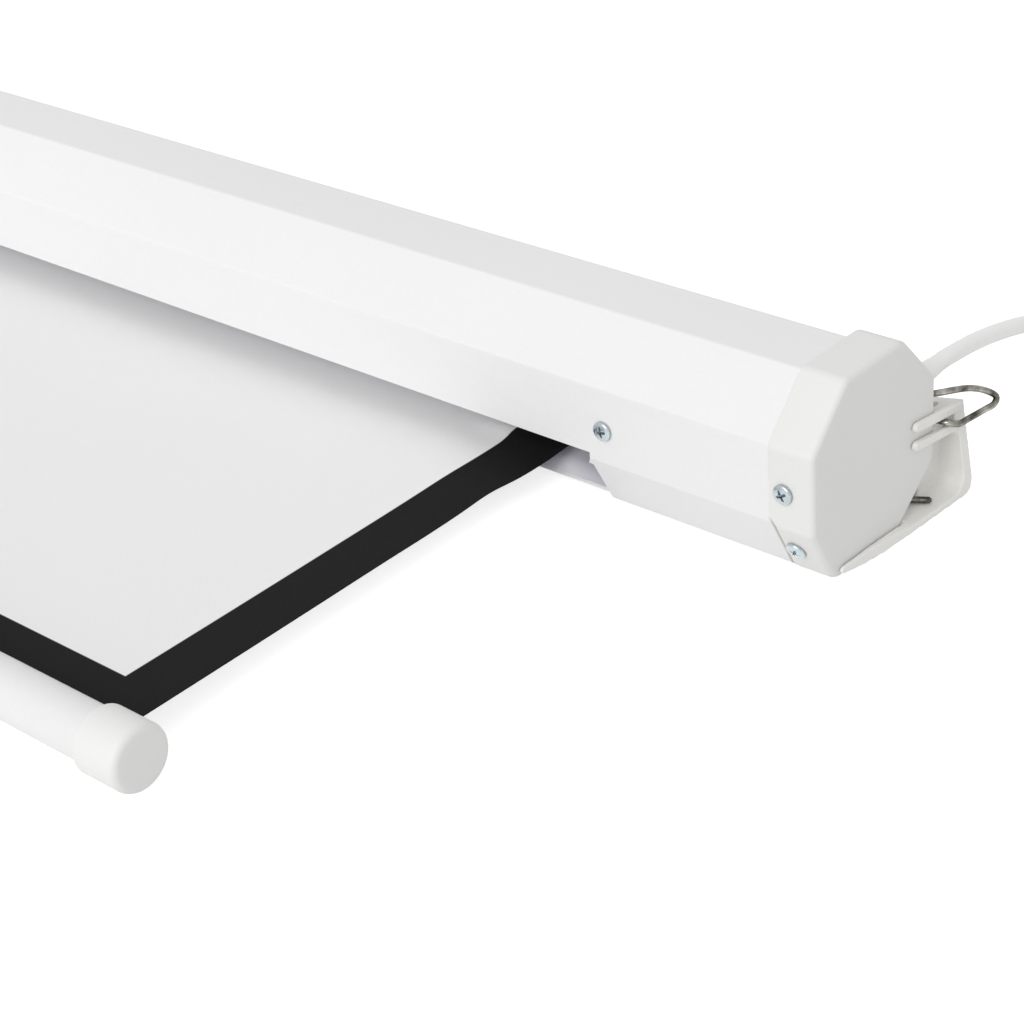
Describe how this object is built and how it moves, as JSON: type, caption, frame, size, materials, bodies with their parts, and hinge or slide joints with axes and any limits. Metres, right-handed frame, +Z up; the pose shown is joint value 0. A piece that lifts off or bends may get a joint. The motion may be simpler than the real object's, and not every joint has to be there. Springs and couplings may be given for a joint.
{
  "type": "electric projector screen",
  "caption": "Electric pull-down projector screen: eight-sided white casing, bordered fabric on a motor roller, round bottom bar, clip-in end brackets and a mains lead.",
  "frame": {"origin": "middle of the footprint of the screen without its mains lead, on the surface that it lies on", "axes": "+X along the casing towards the motor end, -Y the way the fabric is drawn out, +Z up from the wall side that it lies on"},
  "size_m": [1.7748, 0.5914, 0.0826],
  "materials": {
    "white_casing": "satin white powder coat",
    "white_bar": "satin white paint",
    "cap_plastic": "fine moulded texture",
    "bracket_plastic": "moulded, slightly glossy",
    "screen_cloth": "matt white face with a black border",
    "roll_cloth": "pale cloth back",
    "zinc": "bright zinc",
    "steel": "plain pressed steel",
    "motor_housing": "satin grey",
    "nickel_wire": "bright nickel plate",
    "aluminium_tube": "mill finish",
    "dark_plastic": "moulded",
    "white_rod": "extruded",
    "cable_jacket": "smooth white PVC"
  },
  "bodies": {
    "housing": {"casing": "white_casing", "end_cap_right": "cap_plastic", "end_cap_left": "cap_plastic", "cap_screw_front_right": "zinc", "cap_screw_front_left": "zinc", "cap_screw_low_right": "zinc", "cap_screw_low_left": "zinc", "casing_screw_right": "zinc", "casing_screw_left": "zinc", "motor_plate": "steel", "idler_plate": "steel", "tubular_motor": "motor_housing", "motor_screw_1": "zinc", "motor_screw_2": "zinc", "idler_pin": "steel", "bracket_right": "bracket_plastic", "bracket_left": "bracket_plastic", "strain_relief": "cable_jacket", "motor_lead": "cable_jacket", "power_cable": "cable_jacket", "cable_coil": "cable_jacket", "cable_tail": "cable_jacket", "cable_tie": "dark_plastic", "plug_body": "cable_jacket", "plug_pin_1": "nickel_wire", "plug_pin_2": "nickel_wire"},
    "roller": {"motor_shaft": "steel", "motor_crown": "dark_plastic", "drive_wheel": "dark_plastic", "roller_tube": "aluminium_tube", "idler_plug": "dark_plastic", "fabric_roll": "roll_cloth"},
    "bar": {"bottom_bar": "white_bar", "bar_cap_right": "cap_plastic", "bar_cap_left": "cap_plastic", "hem_rod": "white_rod", "screen_fabric": "screen_cloth"},
    "wire_right": {"lock_wire_right": "nickel_wire"},
    "wire_left": {"lock_wire_left": "nickel_wire"}
  },
  "joints": [
    {"name": "screen_draw", "type": "slide", "parent": "housing", "child": "bar", "axis": [0, -1, 0], "range_m": [-0.2143, 0.5723], "deforming": ["screen_fabric"]},
    {"name": "roller_spin", "type": "hinge", "parent": "housing", "child": "roller", "pos_m": [0, 0.10495, 0.04144], "axis": [1, 0, 0], "range_deg": [-1204.6, 451.4]},
    {"name": "lock_wire_right_pull", "type": "slide", "parent": "housing", "child": "wire_right", "axis": [0, 1, 0], "range_m": [0, 0.004]},
    {"name": "lock_wire_left_pull", "type": "slide", "parent": "housing", "child": "wire_left", "axis": [0, 1, 0], "range_m": [0, 0.004]}
  ],
  "couplings": [
    {"joint": "roller_spin", "follows": "screen_draw", "rad_per_m": -36.721}
  ]
}
